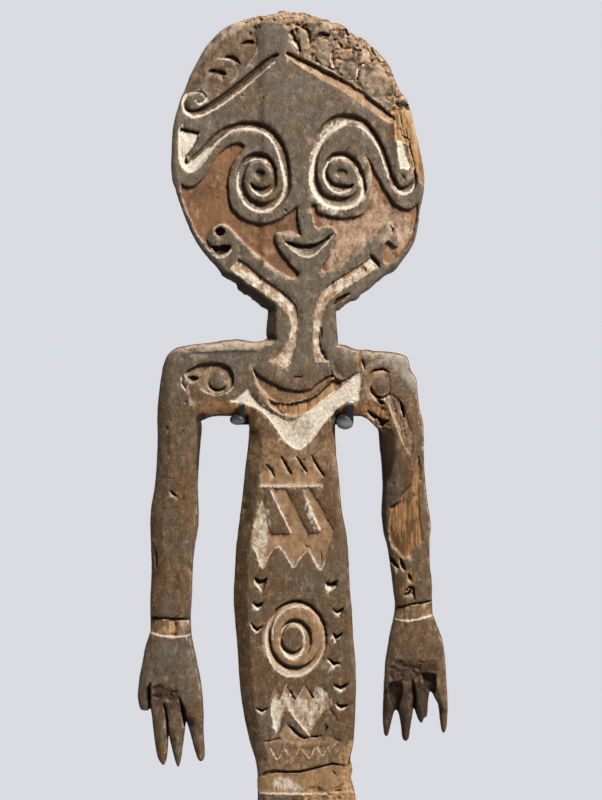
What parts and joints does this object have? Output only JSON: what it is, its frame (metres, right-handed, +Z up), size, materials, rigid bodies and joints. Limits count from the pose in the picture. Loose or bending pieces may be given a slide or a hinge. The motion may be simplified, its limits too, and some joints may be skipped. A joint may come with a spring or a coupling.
{
  "type": "carved wooden board figure on a steel stand",
  "caption": "Flat carved and painted wooden spirit figure with spiral eyes and hanging arms, standing on a steel plate and held by a hooked rod.",
  "frame": {"origin": "centre of the foot plate's underside", "axes": "+Z up, the carved face looks towards -Y, +X to the viewer's right"},
  "size_m": [0.34, 0.24, 1.1903],
  "materials": {
    "painted_wood": "weathered, dark patina with ochre and lime in the carving",
    "stand_steel": "satin black",
    "hook_steel": "satin dark grey",
    "sleeve_tube": "grey protective tubing"
  },
  "bodies": {
    "root": {"figure": "painted_wood", "foot_plate": "stand_steel", "cradle": "hook_steel", "sleeve_left": "sleeve_tube", "sleeve_right": "sleeve_tube"}
  },
  "joints": []
}
